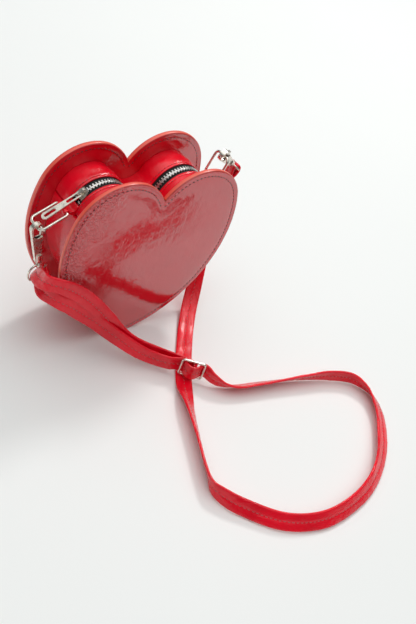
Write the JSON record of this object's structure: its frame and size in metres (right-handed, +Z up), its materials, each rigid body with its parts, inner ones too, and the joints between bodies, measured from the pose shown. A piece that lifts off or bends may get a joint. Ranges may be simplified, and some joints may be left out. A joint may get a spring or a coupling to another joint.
{
  "type": "heart shaped purse",
  "caption": "Heart shaped shoulder bag: two stiff patent leather panels, a set-in gusset, a metal zipper over the lobes and a long strap on two trigger hooks.",
  "frame": {"origin": "on the floor midway between the lower tips of the two heart panels", "axes": "+Z up, +X to the right seen from the front, front face towards -Y"},
  "size_m": [0.3209, 0.349, 0.1918],
  "materials": {
    "patent_leather": "red patent leather with painted edges",
    "board": "pressed fibre board",
    "lining": "plain black cloth",
    "tape": "black woven tape",
    "teeth": "bright metal teeth",
    "steel": "spring steel",
    "nickel": "warm polished nickel plate"
  },
  "bodies": {
    "bag": {"front_outer_leather": "patent_leather", "front_board": "board", "front_inner_leather": "patent_leather", "back_outer_leather": "patent_leather", "back_board": "board", "back_inner_leather": "patent_leather", "gusset_front_strip": "patent_leather", "gusset_rear_strip": "patent_leather", "gusset_lower": "patent_leather", "lining": "lining", "zip_tape_front": "tape", "zip_tape_rear": "tape", "zip_teeth_front": "teeth", "zip_teeth_rear": "teeth", "zip_stops": "teeth", "left_tab": "patent_leather", "right_tab": "patent_leather", "strap": "patent_leather"},
    "zip_slider": {"zip_slider": "nickel"},
    "zip_puller": {"zip_puller": "nickel"},
    "left_ring": {"left_ring": "nickel"},
    "left_drop": {"left_swivel": "nickel", "left_strap_ring": "nickel"},
    "left_hook": {"left_hook": "nickel", "left_gate_pin": "steel", "left_gate_spring": "steel"},
    "left_gate": {"left_gate": "nickel"},
    "right_ring": {"right_ring": "nickel"},
    "right_drop": {"right_swivel": "nickel", "right_strap_ring": "nickel"},
    "right_hook": {"right_hook": "nickel", "right_gate_pin": "steel", "right_gate_spring": "steel"},
    "right_gate": {"right_gate": "nickel"},
    "adjuster": {"adjuster": "nickel"}
  },
  "joints": [
    {"name": "slider_travel", "type": "hinge", "parent": "bag", "child": "zip_slider", "pos_m": [-0.044, 0, 0.14177], "axis": [0, 1, 0], "range_deg": [0, 95], "deforming": ["zip_teeth_front", "zip_teeth_rear", "zip_tape_front", "zip_tape_rear"]},
    {"name": "puller_swing", "type": "hinge", "parent": "zip_slider", "child": "zip_puller", "pos_m": [-0.06922, 0, 0.16233], "axis": [0, 1, 0], "range_deg": [0, 150]},
    {"name": "left_ring_swing", "type": "hinge", "parent": "bag", "child": "left_ring", "pos_m": [-0.08438, 0, 0.14889], "axis": [0, 1, 0], "range_deg": [-6, 0.5]},
    {"name": "left_drop_swing", "type": "hinge", "parent": "bag", "child": "left_drop", "pos_m": [-0.10921, -0.003, 0.13596], "axis": [0, 1, 0], "range_deg": [-12, 20], "deforming": ["strap"]},
    {"name": "left_hook_swivel", "type": "hinge", "parent": "left_drop", "child": "left_hook", "pos_m": [-0.10883, -0.003, 0.1341], "axis": [-0.1994, 0, 0.9799], "range_deg": [-30, 30]},
    {"name": "left_gate_open", "type": "hinge", "parent": "left_hook", "child": "left_gate", "pos_m": [-0.1018, -0.003, 0.10655], "axis": [0, -1, 0], "range_deg": [0, 16], "stiffness_Nm_per_rad": 0.003, "springref_deg": -14.32, "deforming": ["left_gate_spring"]},
    {"name": "right_ring_swing", "type": "hinge", "parent": "bag", "child": "right_ring", "pos_m": [0.08228, 0, 0.15646], "axis": [0, 1, 0], "range_deg": [-0.5, 6]},
    {"name": "right_drop_swing", "type": "hinge", "parent": "bag", "child": "right_drop", "pos_m": [0.08954, 0, 0.18038], "axis": [0, 1, 0], "range_deg": [-15, 20], "deforming": ["strap"]},
    {"name": "right_hook_swivel", "type": "hinge", "parent": "right_drop", "child": "right_hook", "pos_m": [0.08999, 0.0002, 0.18004], "axis": [-0.7483, -0.3322, 0.5742], "range_deg": [-30, 30]},
    {"name": "right_gate_open", "type": "hinge", "parent": "right_hook", "child": "right_gate", "pos_m": [0.1121, 0.00963, 0.16484], "axis": [0.2635, -0.9432, -0.2022], "range_deg": [0, 16], "stiffness_Nm_per_rad": 0.003, "springref_deg": -14.32, "deforming": ["right_gate_spring"]},
    {"name": "adjuster_travel", "type": "slide", "parent": "bag", "child": "adjuster", "axis": [-0.7513, 0.66, 0], "range_m": [0, 0.03], "deforming": ["strap"]}
  ]
}
